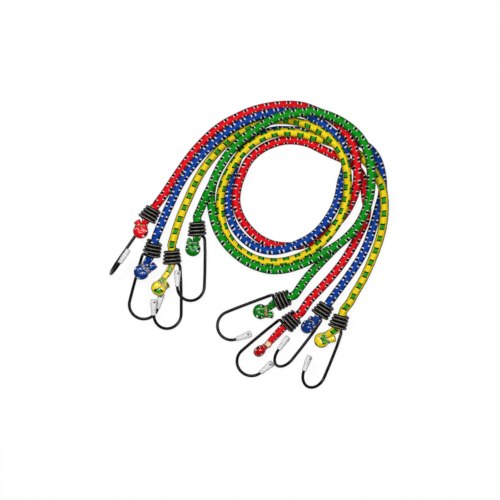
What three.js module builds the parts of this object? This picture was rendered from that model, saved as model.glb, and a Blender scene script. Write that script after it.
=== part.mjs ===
// A set of four bungee cords, coiled together in one and a half turns and laid flat on a table.
// Each cord is a woven sleeve around a rubber core. Both its ends are tied back into a knot by a wire ring,
// and the knot holds a coated wire hook, whose coil grips the cord and whose tip wears a soft cap.
// Millimetres, +Z up, the table at z = 0.
import * as THREE from 'three';

// The plan: routes are drawn on squared paper, x to the right and y down the sheet
const SQUARE = 0.9;
const SHEET_MIDDLE = [249, 245];

// Cord
const CORD_R = 4.0;
const SLEEVE_WALL = 0.8;
const CORE_FIT = 0.25;
const CORD_SIDES = 8;
const CORE_SIDES = 6;
const CORD_STEPS = 52;

// Hook
const WIRE_R = 1.375;
const COIL_TURNS = 4;
const TURN_GAP = 0.45;
const COIL_FIT = 0.375;
const COIL_FLARE = 1.75;
const CAP_REACH = 37;
const BARE_LEG = 0.6;
const BEND_R = 13;
const LEAD_OFF = 4.2;
const LEAD_RUN = 3.8;
const LEAD_SAG = 0.3;
const WIRE_SIDES = 5;
const COIL_STEPS = 10;
const BEND_STEPS = 8;

// Tip cap
const CAP_LENGTH = 14.4;
const CAP_MOUTH_R = 2.35;
const CAP_END_R = 3.1;
const CAP_FLAT = 0.78;
const CAP_CORNER = 2.4;
const CAP_CROWN = 1.5;
const CAP_FIT = 0.35;
const CAP_SIDES = 8;

// Knot and its ring
const GRIP_R = 3.6;
const FOLD_STRAND_R = 3.3;
const TIED_STRAND_R = 2.9;
const FOLD_GAP = 0.4;
const TIED_GAP = 0.6;
const RING_BACK = 5.2;
const RING_WIRE_R = 0.6;
const RING_FIT = 0.4;
const RING_CLEAR = 1.2;
const CUT_R = 2.95;
const PLUG_R = 1.9;
const PLUG_DEPTH = 2.0;
const PLUG_FIT = 0.25;
const PLUG_PROUD = 0.1;
const PLUG_CROWN = 0.45;
const KNOT_SIDES = 7;
const RING_SIDES = 4;
const RING_HALF_STEPS = 6;
const END_GAP = 0.3;
const NECK_INSET = 1;
const LEAD = 3.5;

// A cord that lies on the table rests on one of its flats
const REST_Z = CORD_R * Math.cos(Math.PI / CORD_SIDES);
// The coil's mouth takes the cord, its turns lie close, and it widens towards the shank
const COIL_PITCH = 2 * WIRE_R + TURN_GAP;
const COIL_MOUTH_R = CORD_R + COIL_FIT + WIRE_R;
const COIL_BACK_R = COIL_MOUTH_R + COIL_FLARE;
const COIL_HALF = COIL_TURNS * COIL_PITCH / 2;
const COIL_END = COIL_HALF + WIRE_R;

const rad = THREE.MathUtils.degToRad;
const onSheet = ([x, y, z]) => new THREE.Vector3(
  (x - SHEET_MIDDLE[0]) * SQUARE,
  (SHEET_MIDDLE[1] - y) * SQUARE,
  z,
);
const mix = (a, b, t) => a + (b - a) * t;

// Routes, from the left-hand hook around to the right-hand hook: sheet x, sheet y, height in millimetres
const ROUTES = {
  red: [
    [163.5, 196, 7.6], [172, 183, 4.8], [181, 169.5, 3.8], [192, 154.5, 3.7], [205, 140, 3.7],
    [220, 127, 3.7], [236, 118, 3.7], [252, 111, 3.7], [268, 107, 3.7], [285, 105.2, 3.7],
    [302, 106.3, 3.7], [318, 112, 3.7], [330, 118.5, 5], [340, 127, 10], [348, 137, 12.6],
    [354, 149.3, 12.6], [356.5, 164, 12.8], [357, 178, 12.2], [355, 192, 8.6], [350, 205, 4.2],
    [341, 218.5, 3.7], [328.5, 230.5, 3.7], [314.5, 239.7, 3.7], [300, 245.3, 3.7], [285, 246.5, 3.7],
    [270.5, 244, 3.7], [257.3, 237, 3.9], [247.3, 227.3, 5.8], [240, 216, 8.3], [236.2, 203, 9.3],
    [237.5, 188, 9.3], [242.3, 173.5, 8.5], [249, 160.5, 4.8], [259.5, 150.5, 3.7], [272, 144, 3.7],
    [285, 140.6, 3.7], [298, 140.8, 3.7], [309.5, 143.6, 3.7], [319.5, 148.5, 3.7], [331, 154, 3.7],
    [342.5, 159, 3.7], [353.5, 165.5, 3.7], [361.3, 175, 3.7], [364, 186.5, 3.7], [365.5, 198, 3.7],
    [367, 209, 3.7], [365, 221, 3.7], [359, 234.5, 3.7], [351.5, 248.5, 3.7], [342.5, 262.5, 3.7],
    [331.5, 276.5, 3.7], [319.5, 289.5, 4.8], [309, 300.5, 8.5],
  ],
  blue: [
    [159.2, 230, 11.8], [165.4, 215.5, 11], [172.4, 200, 10.6], [180, 184.5, 9.7], [190, 169.5, 9.3],
    [201, 156, 9.3], [213.3, 143.7, 9.3], [226.5, 132.8, 9.3], [241.5, 123.6, 9.3], [256.7, 117, 9.3],
    [271.8, 113.2, 9.3], [287, 112.1, 9.4], [301, 113.2, 9.3], [313.5, 118.8, 9.6], [324.3, 126, 11],
    [333.5, 134.5, 12.7], [340.5, 143.5, 12.6], [345, 153, 12.6], [345.8, 162, 12.6], [344, 172, 10],
    [341, 182.5, 6.8], [339, 194, 4.5], [335.5, 205.5, 3.9], [329.5, 216.5, 6], [321, 228, 10],
    [311, 237, 12.3], [299, 243.5, 12.4], [286, 248.5, 12.3], [272, 250.7, 11], [258.3, 248, 9],
    [246.5, 240.8, 6.6], [237, 230.8, 4.2], [230.8, 218.5, 3.7], [228, 205, 3.7], [228.7, 191, 3.7],
    [231.6, 177.5, 3.7], [236, 164, 3.7], [241.5, 151.5, 3.7], [250.5, 141.8, 3.7], [262, 134.8, 3.7],
    [275.5, 130.7, 3.7], [289, 130.6, 3.7], [302, 131.2, 3.7], [316, 130.9, 3.7], [330, 132.6, 3.7],
    [345, 138, 3.7], [357, 142, 3.7], [368, 147.5, 3.7], [376, 157, 3.7], [380.5, 169, 3.7],
    [382.5, 182, 3.7], [382, 195, 3.7], [378.7, 207, 3.7], [375.3, 219.3, 3.7], [371.7, 231, 3.7],
    [367.5, 243, 3.7], [361.5, 256, 3.7], [353, 269.5, 3.7], [344.5, 281.5, 3.7], [335.8, 293, 6],
  ],
  yellow: [
    [173.5, 240, 10.8], [176, 231, 9], [179.5, 220, 6.5], [184, 208.5, 4.4], [189.5, 196, 3.7],
    [196, 182, 3.7], [204, 168.5, 3.7], [213.8, 155.7, 3.7], [225, 144, 3.7], [237.8, 134.3, 3.7],
    [251.2, 127, 3.7], [264.5, 122.3, 3.7], [277.3, 120.2, 3.7], [289, 120.6, 4], [299, 122.7, 8.2],
    [309, 126, 13.6], [318.5, 131, 17], [327.5, 137.5, 19.6], [335, 145.2, 20.8], [340.5, 154, 21],
    [344.5, 163.5, 21], [346.7, 174.5, 19], [347.2, 186, 15.5], [346.3, 198, 13], [343, 210.5, 12.6],
    [337.5, 222.5, 12.6], [329.5, 234, 12.6], [319.5, 244.5, 11], [307.5, 253, 7], [294, 259, 3.9],
    [281, 262, 3.7], [268, 262, 3.7], [255.5, 259, 3.8], [244, 253.2, 4.5], [234.2, 244.8, 6.4],
    [226.5, 233.8, 8.6], [221.8, 220.5, 9], [220.2, 206.5, 9], [221, 193, 9.3], [224.6, 181, 10.6],
    [229.8, 170.5, 12.1], [236, 160.5, 12.5], [244, 151.5, 12.5], [254, 143, 12.5], [265, 137, 12.5],
    [277, 133.3, 12.5], [290, 132.8, 12.5], [302, 134.4, 11.8], [313, 137.4, 10.6], [323, 140.2, 8.5],
    [333, 143.4, 5], [344, 147.5, 3.7], [355, 152.3, 3.7], [364, 159.8, 5], [371, 168.3, 8],
    [377, 177.3, 11.2], [381.5, 187, 12.4], [383.5, 198, 12.2], [384, 210, 10.4], [383, 222, 8.4],
    [380.8, 234, 5], [376.3, 248.5, 3.7], [370, 264, 3.7], [363, 279, 3.7], [355, 292.5, 5],
    [349, 303, 7.8],
  ],
  green: [
    [199.5, 212, 11.6], [203, 204, 16], [206.8, 195.5, 20.2], [211.3, 187, 21], [216, 176, 20.4],
    [222.3, 163.7, 19.7], [230.5, 152, 19.8], [240.5, 141.5, 19.8], [252, 132.7, 20.5], [264, 124.7, 22.4],
    [276, 119, 25.2], [288, 115.3, 26.5], [300, 113.3, 26.5], [313, 112.7, 26.5], [326, 116, 26.5],
    [339, 121.7, 26.5], [350.5, 129.5, 26.5], [360, 139.5, 26.5], [366.3, 151, 26.5], [369.5, 163.5, 26.7],
    [370.3, 176.5, 26.9], [370, 189, 25.3], [368, 201, 22.2], [363.5, 214, 21.2], [356.5, 226.5, 19.5],
    [347, 237, 17.3], [336, 245.5, 15.3], [324, 252.5, 13.7], [311, 259.7, 12.2], [298, 265.5, 10],
    [284, 269.2, 9.4], [270, 269.7, 9.6], [256.5, 266.2, 10.4], [244.5, 260.3, 11.6], [234, 252.2, 13.4],
    [224.7, 242, 15.3], [217.5, 229.8, 15.2], [213.3, 216.5, 14], [211.3, 203, 12.2], [211.3, 192.5, 10.4],
    [214.3, 179.5, 10.6], [222.3, 163.7, 10.9], [230.5, 152, 11], [240.5, 141.5, 11], [252, 132.7, 11.6],
    [264, 124.7, 13.3], [276, 119, 16.1], [288, 115.3, 17.6], [300, 113.3, 17.8], [313, 112.7, 17.8],
    [326, 116, 17.8], [339, 121.7, 17.8], [350.5, 129.5, 17.8], [360, 139.5, 17.8], [366.3, 151, 17.8],
    [369.5, 163.5, 18], [370.3, 176.5, 18.1], [370, 189, 16.2], [368, 201, 13.3], [363.5, 214, 12.4],
    [356.5, 226.5, 10.7], [347, 237, 8.6], [336.5, 246.5, 6], [327, 256, 4.2], [317, 266.5, 3.7],
    [308, 276.5, 4.6], [300.5, 286.5, 8],
  ],
};

// Hook ends. coil: the coil's middle on the sheet and its height; heading: the way the hook points on the
// sheet; dip: degrees the hook slopes down to its bend; shank: 1 where the shank lies to the left of the
// heading, -1 right; roll: degrees the tip is turned up. knot: the fold's middle, its heading, the side of
// the returning strand (1 left, -1 right), the fold's own lean in degrees, and how far the cut end reaches
// back and flares out.
const ENDS = {
  red_left: {
    coil: [150.8, 214, 9.1], heading: [-0.56, 0.83], dip: 0, shank: -1, roll: 83,
    knot: { fold: [141, 231, 8.4], heading: [-0.1, 0.99], side: -1, lean: 0, tail: 9.8, flare: 1.6 },
  },
  blue_left: {
    coil: [153.2, 248.5, 10.1], heading: [-0.27, 0.963], dip: 7.5, shank: -1, roll: 0,
    knot: { fold: [142, 272, 14.4], heading: [-0.75, 0.66], side: 1, lean: 0, tail: 15, flare: 0.4 },
  },
  yellow_left: {
    coil: [172.3, 257, 9.9], heading: [0.02, 1], dip: 6.3, shank: 1, roll: 20,
    knot: { fold: [159.2, 287.8, 11.6], heading: [-0.72, 0.69], side: 1, lean: 0, tail: 9.8, flare: 0.6 },
  },
  green_left: {
    coil: [197.3, 229, 9.5], heading: [-0.01, 1], dip: 2.6, shank: 1, roll: 22,
    knot: { fold: [193, 248.7, 7.2], heading: [0, 1], side: -1, lean: 0, tail: 8.5, flare: 2.0 },
  },
  green_right: {
    coil: [282.5, 299.5, 10.1], heading: [-0.934, 0.357], dip: 7.5, shank: -1, roll: 8,
    knot: { fold: [260.5, 311.5, 5.4], heading: [-1, 0.02], side: 1, lean: 0, tail: 12.5, flare: 0.4 },
  },
  red_right: {
    coil: [291, 320.5, 10.1], heading: [-0.77, 0.64], dip: 7.5, shank: -1, roll: 0,
    knot: { fold: [260.5, 350, 8.2], heading: [-0.78, 0.625], side: 1, lean: 90, tail: 10.4, flare: 4.6 },
  },
  blue_right: {
    coil: [323, 310, 9.4], heading: [-0.6, 0.8], dip: 2, shank: 1, roll: 53,
    knot: { fold: [307.8, 326.2, 7.2], heading: [-0.72, 0.69], side: -1, lean: -50, tail: 7.4, flare: 1.8 },
  },
  yellow_right: {
    coil: [339, 321.5, 9.6], heading: [-0.36, 0.933], dip: 3.4, shank: 1, roll: 41,
    knot: { fold: [321.5, 340, 6.6], heading: [-0.9, 0.42], side: 1, lean: 0, tail: 13, flare: 0.5 },
  },
};

// Meshes from rings of points, all of one count; the skin closes over the first and last ring, or runs round
function skin(rings, { loop = false } = {}) {
  const count = rings[0].length;
  const positions = rings.flat().flatMap((p) => [p.x, p.y, p.z]);
  const index = [];
  const last = loop ? rings.length : rings.length - 1;
  for (let k = 0; k < last; k += 1) {
    const a = k * count;
    const b = ((k + 1) % rings.length) * count;
    for (let i = 0; i < count; i += 1) {
      const j = (i + 1) % count;
      index.push(a + i, b + j, a + j, a + i, b + i, b + j);
    }
  }
  if (!loop) {
    const end = (rings.length - 1) * count;
    for (let i = 1; i < count - 1; i += 1) {
      index.push(0, i, i + 1);
      index.push(end, end + i + 1, end + i);
    }
  }
  const geometry = new THREE.BufferGeometry();
  geometry.setAttribute('position', new THREE.Float32BufferAttribute(positions, 3));
  geometry.setIndex(index);
  geometry.computeVertexNormals();
  return geometry;
}

// The direction of a line of points at each of them
function tangents(points, loop = false) {
  const n = points.length;
  return points.map((p, i) => {
    const before = points[loop ? (i + n - 1) % n : Math.max(i - 1, 0)];
    const after = points[loop ? (i + 1) % n : Math.min(i + 1, n - 1)];
    return after.clone().sub(before).normalize();
  });
}

// Side and up vectors along a line, turned as little as possible from point to point
function carriedFrames(points, firstUp) {
  const along = tangents(points);
  let up = firstUp.clone();
  return points.map((point, i) => {
    up = up.clone().addScaledVector(along[i], -up.dot(along[i])).normalize();
    const side = new THREE.Vector3().crossVectors(along[i], up);
    return { point, along: along[i], side, up };
  });
}

// Side and up vectors that stay level, for a cord that lies on a table
function levelFrames(points, first, last) {
  const z = new THREE.Vector3(0, 0, 1);
  const directions = tangents(points);
  directions[0] = first;
  directions[points.length - 1] = last;
  return directions.map((along, i) => {
    const side = new THREE.Vector3().crossVectors(along, z).normalize();
    const up = new THREE.Vector3().crossVectors(side, along);
    return { point: points[i], along, side, up };
  });
}

function ringAt({ point, side, up }, radius, sides, { turn = 0, flat = 1 } = {}) {
  return Array.from({ length: sides }, (_, i) => {
    const a = turn + (2 * Math.PI * i) / sides;
    return point.clone()
      .addScaledVector(up, radius * flat * Math.cos(a))
      .addScaledVector(side, -radius * Math.sin(a));
  });
}

// The same frame, further along its line
function moved(frame, distance) {
  return { ...frame, point: frame.point.clone().addScaledVector(frame.along, distance) };
}

// A smooth line through points, as many samples to each span
function smooth(points, samples) {
  const curve = new THREE.CatmullRomCurve3(points, false, 'centripetal');
  return curve.getPoints(samples * (points.length - 1));
}

// A line cut into equal steps
function evenSteps(points, steps) {
  const reach = [0];
  for (let i = 1; i < points.length; i += 1) reach.push(reach[i - 1] + points[i].distanceTo(points[i - 1]));
  const total = reach[reach.length - 1];
  let k = 1;
  const out = [];
  for (let s = 0; s <= steps; s += 1) {
    const want = (total * s) / steps;
    while (k < points.length - 1 && reach[k] < want) k += 1;
    const t = (want - reach[k - 1]) / (reach[k] - reach[k - 1]);
    out.push(points[k - 1].clone().lerp(points[k], t));
  }
  return { points: out, length: total };
}

// The frame of a hook: its coil's middle, the axis along the cord, the shank's side and the third direction
function hookFrame(end) {
  const middle = onSheet(end.coil);
  const level = new THREE.Vector3(end.heading[0], -end.heading[1], 0).normalize();
  const left = new THREE.Vector3(-level.y, level.x, 0);
  const dip = rad(end.dip);
  const axis = level.clone().multiplyScalar(Math.cos(dip)).setZ(-Math.sin(dip));
  const up = level.clone().multiplyScalar(Math.sin(dip)).setZ(Math.cos(dip));
  const shank = left.clone().multiplyScalar(end.shank * Math.cos(rad(end.roll)))
    .addScaledVector(up, -Math.sin(rad(end.roll)));
  const third = new THREE.Vector3().crossVectors(axis, shank);
  const at = (u, v, w) => middle.clone()
    .addScaledVector(axis, u)
    .addScaledVector(shank, v)
    .addScaledVector(third, w);
  return { middle, level, axis, shank, third, at };
}

// Hook: a tapering coil, a bend into the shank, the big bend and the leg that carries the cap
const LEG_V = COIL_BACK_R - 2 * BEND_R;
const CAP_MOUTH = CAP_REACH + CAP_LENGTH;
const BEND_U = CAP_MOUTH + BARE_LEG;

function hookLine(frame) {
  const line = [];
  const stop = -Math.asin(LEAD_OFF / COIL_BACK_R);
  const count = COIL_TURNS * COIL_STEPS;
  for (let i = 0; i <= count; i += 1) {
    const t = i / count;
    const angle = stop - 2 * Math.PI * COIL_TURNS * (1 - t);
    const r = mix(COIL_MOUTH_R, COIL_BACK_R, t);
    line.push(frame.at(mix(-COIL_HALF, COIL_HALF, t), r * Math.cos(angle), r * Math.sin(angle)));
  }
  const early = 0.36;
  const late = 0.04;
  line.push(frame.at(COIL_HALF + LEAD_RUN / 3, COIL_BACK_R - LEAD_SAG, -LEAD_OFF * early));
  line.push(frame.at(COIL_HALF + LEAD_RUN, COIL_BACK_R, -LEAD_OFF * late));
  const bendV = COIL_BACK_R - BEND_R;
  for (let i = 0; i <= BEND_STEPS; i += 1) {
    const a = (Math.PI * i) / BEND_STEPS;
    line.push(frame.at(BEND_U + BEND_R * Math.sin(a), bendV + BEND_R * Math.cos(a), 0));
  }
  line.push(frame.at(CAP_REACH + CAP_CROWN + CAP_FIT, LEG_V, 0));
  return line;
}

function hookMesh(frame) {
  const frames = carriedFrames(hookLine(frame), frame.axis.clone().negate());
  return skin(frames.map((f) => ringAt(f, WIRE_R, WIRE_SIDES)));
}

// Cap: a blind sleeve, round at its mouth, wider and flattened towards its closed end
function capMesh(frame) {
  const spot = (u) => ({
    point: frame.at(u, LEG_V, 0),
    along: frame.axis.clone().negate(),
    side: frame.shank,
    up: frame.third,
  });
  const bore = WIRE_R + CAP_FIT;
  const waist = 0.5;
  const waistSwell = 0.6;
  const shoulder = 0.84;
  const crown = 0.45;
  const outer = [
    [CAP_MOUTH, CAP_MOUTH_R, 1],
    [CAP_MOUTH - CAP_LENGTH * waist, mix(CAP_MOUTH_R, CAP_END_R, waistSwell), mix(1, CAP_FLAT, waist)],
    [CAP_REACH + CAP_CORNER, CAP_END_R, CAP_FLAT],
    [CAP_REACH + CAP_CORNER / 4, CAP_END_R * shoulder, CAP_FLAT],
    [CAP_REACH, CAP_END_R * crown, CAP_FLAT],
  ];
  const turn = Math.PI / CAP_SIDES;
  const flatRing = ([u, r, flat]) => ringAt(spot(u), r, CAP_SIDES, { turn, flat });
  const inner = [CAP_REACH + CAP_CROWN, CAP_MOUTH].map((u) => ringAt(spot(u), bore, CAP_SIDES, { turn }));
  return skin([inner[0], inner[1], ...outer.map(flatRing)]);
}

// Knot: the cord's tied end, from the coil's mouth through the coil, around the fold and back to its cut
const TIED_HALF = TIED_STRAND_R + TIED_GAP / 2;
const FOLD_R = FOLD_STRAND_R + FOLD_GAP;

function knotFrame(knot) {
  const fold = onSheet(knot.fold);
  const heading = new THREE.Vector3(knot.heading[0], -knot.heading[1], 0).normalize();
  const left = new THREE.Vector3(-heading.y, heading.x, 0);
  const back = left.multiplyScalar(knot.side * Math.cos(rad(knot.lean))).setZ(Math.sin(rad(knot.lean)));
  const third = new THREE.Vector3().crossVectors(heading, back);
  const at = (k, n) => fold.clone().addScaledVector(heading, k).addScaledVector(back, n);
  return { fold, heading, back, third, at };
}

function knotLine(frame, knot) {
  const k = knotFrame(knot);
  const stops = [
    [frame.at(-COIL_END - LEAD + END_GAP, 0, 0), GRIP_R],
    [frame.at(0, 0, 0), GRIP_R],
    [frame.at(COIL_END - NECK_INSET, 0, 0), GRIP_R],
    [k.at(-RING_BACK - RING_CLEAR, -TIED_HALF), TIED_STRAND_R],
    [k.at(-RING_BACK + RING_CLEAR, -TIED_HALF), TIED_STRAND_R],
    [k.at(0, -FOLD_R), FOLD_STRAND_R],
    [k.at(FOLD_R * Math.SQRT1_2, -FOLD_R * Math.SQRT1_2), FOLD_STRAND_R],
    [k.at(FOLD_R, 0), FOLD_STRAND_R],
    [k.at(FOLD_R * Math.SQRT1_2, FOLD_R * Math.SQRT1_2), FOLD_STRAND_R],
    [k.at(0, FOLD_R), FOLD_STRAND_R],
    [k.at(-RING_BACK + RING_CLEAR, TIED_HALF), TIED_STRAND_R],
    [k.at(-RING_BACK - RING_CLEAR, TIED_HALF), TIED_STRAND_R],
    [k.at(-knot.tail, TIED_HALF + knot.flare), CUT_R],
  ];
  const samples = 2;
  const points = smooth(stops.map(([p]) => p), samples);
  const radii = points.map((_, i) => {
    const s = i / samples;
    const a = Math.min(Math.floor(s), stops.length - 2);
    return mix(stops[a][1], stops[a + 1][1], s - a);
  });
  return { points, radii };
}

function knotMesh(frame, knot) {
  const { points, radii } = knotLine(frame, knot);
  const frames = carriedFrames(points, frame.third);
  const rings = frames.map((f, i) => ringAt(f, radii[i], KNOT_SIDES));
  const cut = frames[frames.length - 1];
  rings.push(ringAt(cut, PLUG_R, KNOT_SIDES));
  rings.push(ringAt(moved(cut, -PLUG_DEPTH), PLUG_R, KNOT_SIDES));
  return skin(rings);
}

// The rubber that shows at the cut end, seated in the sleeve's open mouth
function plugMesh(frame, knot) {
  const { points } = knotLine(frame, knot);
  const frames = carriedFrames(points, frame.third);
  const cut = frames[frames.length - 1];
  const r = PLUG_R - PLUG_FIT;
  const crown = 0.7;
  const profile = [[PLUG_FIT - PLUG_DEPTH, r], [PLUG_PROUD, r], [PLUG_CROWN, r * crown]];
  return skin(profile.map(([depth, radius]) => ringAt(moved(cut, depth), radius, KNOT_SIDES)));
}

// Wire ring clamped around the two strands of the knot
function ringMesh(knot) {
  const k = knotFrame(knot);
  const reach = TIED_STRAND_R + RING_FIT + RING_WIRE_R;
  const line = [];
  for (const end of [1, -1]) {
    for (let i = 0; i <= RING_HALF_STEPS; i += 1) {
      const a = (Math.PI * i) / RING_HALF_STEPS;
      line.push(k.at(-RING_BACK, end * (TIED_HALF + reach * Math.sin(a)))
        .addScaledVector(k.third, end * reach * Math.cos(a)));
    }
  }
  const along = tangents(line, true);
  const rings = line.map((point, i) => {
    const side = new THREE.Vector3().crossVectors(along[i], k.heading).normalize();
    return ringAt({ point, side, up: k.heading }, RING_WIRE_R, RING_SIDES);
  });
  return skin(rings, { loop: true });
}

// Cord: the sleeve is a tube, and the core lies inside it
function cordLine(colour) {
  const left = hookFrame(ENDS[`${colour}_left`]);
  const right = hookFrame(ENDS[`${colour}_right`]);
  const mouth = -COIL_END - LEAD;
  const route = ROUTES[colour].map(onSheet);
  const stops = [left.middle, left.at(mouth, 0, 0), ...route, right.at(mouth, 0, 0), right.middle];
  const samples = 10;
  const dense = smooth(stops, samples).slice(samples, -samples);
  for (const point of dense) point.z = Math.max(point.z, REST_Z);
  const { points, length } = evenSteps(dense, CORD_STEPS);
  return { points, length, frames: levelFrames(points, left.axis.clone().negate(), right.axis) };
}

function sleeveMesh(frames) {
  const turn = Math.PI / CORD_SIDES;
  const outer = frames.map((f) => ringAt(f, CORD_R, CORD_SIDES, { turn }));
  const inner = frames.map((f) => ringAt(f, CORD_R - SLEEVE_WALL, CORD_SIDES, { turn }));
  return skin([...outer, ...inner.reverse()], { loop: true });
}

function coreMesh(frames) {
  const r = (CORD_R - SLEEVE_WALL) * Math.cos(Math.PI / CORD_SIDES) - CORE_FIT;
  return skin(frames.map((f) => ringAt(f, r, CORE_SIDES)));
}

const COLOURS = { red: 0xc8161d, blue: 0x1747b0, yellow: 0xf2c81e, green: 0x17932f };
const BLACK = 0x151515;
const CREAM = 0xe9ddbd;
const SILVER = 0xb9b7ae;
const MILKY = 0xe4e6ea;

const set = new THREE.Group();
function add(name, geometry, colour) {
  const mesh = new THREE.Mesh(geometry, new THREE.MeshStandardMaterial({ color: colour, roughness: 0.5 }));
  mesh.name = name;
  set.add(mesh);
}

const lines = {};
for (const [colour, paint] of Object.entries(COLOURS)) {
  const { points, length, frames } = cordLine(colour);
  lines[colour] = points;
  console.log(`${colour} cord between its hooks: ${length.toFixed(0)} mm`);
  add(`${colour}_sleeve`, sleeveMesh(frames), paint);
  add(`${colour}_core`, coreMesh(frames), CREAM);
  for (const side of ['left', 'right']) {
    const name = `${colour}_${side}`;
    const end = ENDS[name];
    const frame = hookFrame(end);
    add(`${name}_knot`, knotMesh(frame, end.knot), paint);
    add(`${name}_core_end`, plugMesh(frame, end.knot), CREAM);
    add(`${name}_ring`, ringMesh(end.knot), SILVER);
    add(`${name}_hook`, hookMesh(frame), BLACK);
    add(`${name}_tip`, capMesh(frame), MILKY);
  }
}

// Least gaps, measured on the points of each line; on one line, so many next steps are no neighbours
const CORD_SKIP = 4;
const COIL_SKIP = 5;
const KNOT_SKIP = 8;

function leastGap(a, b, reach, skip) {
  let best = { gap: Infinity };
  for (let i = 0; i < a.length - 1; i += 1) {
    for (let j = a === b ? i + skip : 0; j < b.length - 1; j += 1) {
      const gap = segmentDistance(a[i], a[i + 1], b[j], b[j + 1]) - reach;
      if (gap < best.gap) best = { gap, at: a[i] };
    }
  }
  return best;
}

function segmentDistance(p, q, r, s) {
  let least = Infinity;
  const parts = 4;
  for (let i = 0; i <= parts; i += 1) {
    const point = p.clone().lerp(q, i / parts);
    const nearest = new THREE.Line3(r, s).closestPointToPoint(point, true, new THREE.Vector3());
    least = Math.min(least, nearest.distanceTo(point));
  }
  return least;
}

const names = Object.keys(lines);
names.forEach((one, i) => {
  for (const two of names.slice(i)) {
    const { gap, at } = leastGap(lines[one], lines[two], 2 * CORD_R, CORD_SKIP);
    const place = at.toArray().map((v) => v.toFixed(0));
    console.log(`${one} to ${two}: least gap ${gap.toFixed(2)} mm near ${place}`);
  }
});
for (const [name, end] of Object.entries(ENDS)) {
  const coil = hookLine(hookFrame(end));
  const wound = leastGap(coil, coil, 2 * WIRE_R, COIL_SKIP).gap.toFixed(2);
  const { points } = knotLine(hookFrame(end), end.knot);
  const folded = leastGap(points, points, 2 * TIED_STRAND_R, KNOT_SKIP).gap.toFixed(2);
  console.log(`${name}: hook winding gap ${wound} mm, knot strands apart ${folded} mm`);
}

export default set;
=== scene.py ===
# %% [markdown]
# # Four bungee cords in a loose coil
#
# This lesson dresses a set of four elastic luggage cords. Each cord is a rubber core in a woven sleeve,
# and each end is folded over, tied with wire and gripped by the coil of a coated wire hook. The solids
# come from a imported frame, which already has every piece at its real size. Here each of them is replaced
# by a finer piece with the looks of the real one.
#
# The frame is loaded first.

import bpy
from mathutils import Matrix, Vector


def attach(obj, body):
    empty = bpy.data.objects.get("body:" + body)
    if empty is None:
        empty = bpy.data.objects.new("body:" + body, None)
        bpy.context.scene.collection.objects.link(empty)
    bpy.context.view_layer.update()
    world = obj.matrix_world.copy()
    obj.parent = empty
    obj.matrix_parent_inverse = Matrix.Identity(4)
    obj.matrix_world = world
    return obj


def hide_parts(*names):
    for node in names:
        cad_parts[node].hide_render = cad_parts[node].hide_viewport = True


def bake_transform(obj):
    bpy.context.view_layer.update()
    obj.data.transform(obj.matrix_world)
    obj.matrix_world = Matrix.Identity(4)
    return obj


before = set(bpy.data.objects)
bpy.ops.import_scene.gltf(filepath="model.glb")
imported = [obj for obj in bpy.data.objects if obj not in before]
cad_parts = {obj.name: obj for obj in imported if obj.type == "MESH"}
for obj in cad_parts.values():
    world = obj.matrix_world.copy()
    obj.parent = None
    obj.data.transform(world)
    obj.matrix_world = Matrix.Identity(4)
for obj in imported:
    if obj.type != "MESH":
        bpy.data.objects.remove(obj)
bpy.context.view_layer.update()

# %% [markdown]
# ## The view
#
# The photograph looks straight down on the coil, so the camera hangs above the table. A long way up, with
# a narrow lens, it sees almost no perspective: a cord on top of the pile is hardly larger than one on the
# table. The place is given on the same squared sheet on which the routes are drawn: one square is one
# pixel of the photograph.

# %% Sheet and camera
MM = 0.001
SQUARE = 0.9 * MM
SHEET_MIDDLE = (249.0, 245.0)
PHOTO_SIDE = 500
PHOTO_MIDDLE = (250.0, 250.0)
CAMERA_HEIGHT = 3.0
SENSOR = 36.0


def on_sheet(x, y, height_mm):
    """A point of the squared sheet, in metres: x to the right, y down the sheet."""
    return Vector(((x - SHEET_MIDDLE[0]) * SQUARE, (SHEET_MIDDLE[1] - y) * SQUARE, height_mm * MM))


scene = bpy.context.scene
camera_data = bpy.data.cameras.new("above")
camera = bpy.data.objects.new("above", camera_data)
camera.location = on_sheet(*PHOTO_MIDDLE, 0) + Vector((0, 0, CAMERA_HEIGHT))
camera_data.sensor_width = SENSOR
camera_data.lens = SENSOR * CAMERA_HEIGHT / (PHOTO_SIDE * SQUARE)
scene.collection.objects.link(camera)
scene.camera = camera
scene.view_settings.view_transform = "Standard"
print(f"camera {CAMERA_HEIGHT} m above the table, lens {camera_data.lens:.0f} mm")

# %% [markdown]
# ## Helpers for nodes
#
# Materials here are made of small sums over the surface. These helpers keep a sum readable: `compute`
# adds one Math node, `mixed` one colour mix, and `place_group` puts a shared node group into a material.

# %% Node helpers
# A Mix node has sockets for every kind of data; these are the numbers of its colour sockets.
MIX_FACTOR, MIX_FIRST, MIX_SECOND, MIX_RESULT = 0, 6, 7, 2


def feed(tree, socket, value):
    """Give a socket a number or colour, or link another socket to it."""
    if isinstance(value, bpy.types.NodeSocket):
        tree.links.new(value, socket)
    else:
        socket.default_value = value


def compute(tree, operation, *values):
    """One Math node, with numbers or sockets as its values."""
    step = tree.nodes.new("ShaderNodeMath")
    step.operation = operation
    for socket, value in zip(step.inputs, values):
        feed(tree, socket, value)
    return step.outputs[0]


def mixed(tree, share, first, second, blend="MIX"):
    """One colour mix: first where share is 0, second where it is 1."""
    step = tree.nodes.new("ShaderNodeMix")
    step.data_type = "RGBA"
    step.blend_type = blend
    feed(tree, step.inputs[MIX_FACTOR], share)
    feed(tree, step.inputs[MIX_FIRST], first)
    feed(tree, step.inputs[MIX_SECOND], second)
    return step.outputs[MIX_RESULT]


def remapped(tree, value, low, high, out_low, out_high):
    """A value's span spread over another span, without leaving it."""
    step = tree.nodes.new("ShaderNodeMapRange")
    for socket, given in zip(step.inputs, (value, low, high, out_low, out_high)):
        feed(tree, socket, given)
    return step.outputs[0]


print("node helpers ready")

# %% Groups and materials


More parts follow.
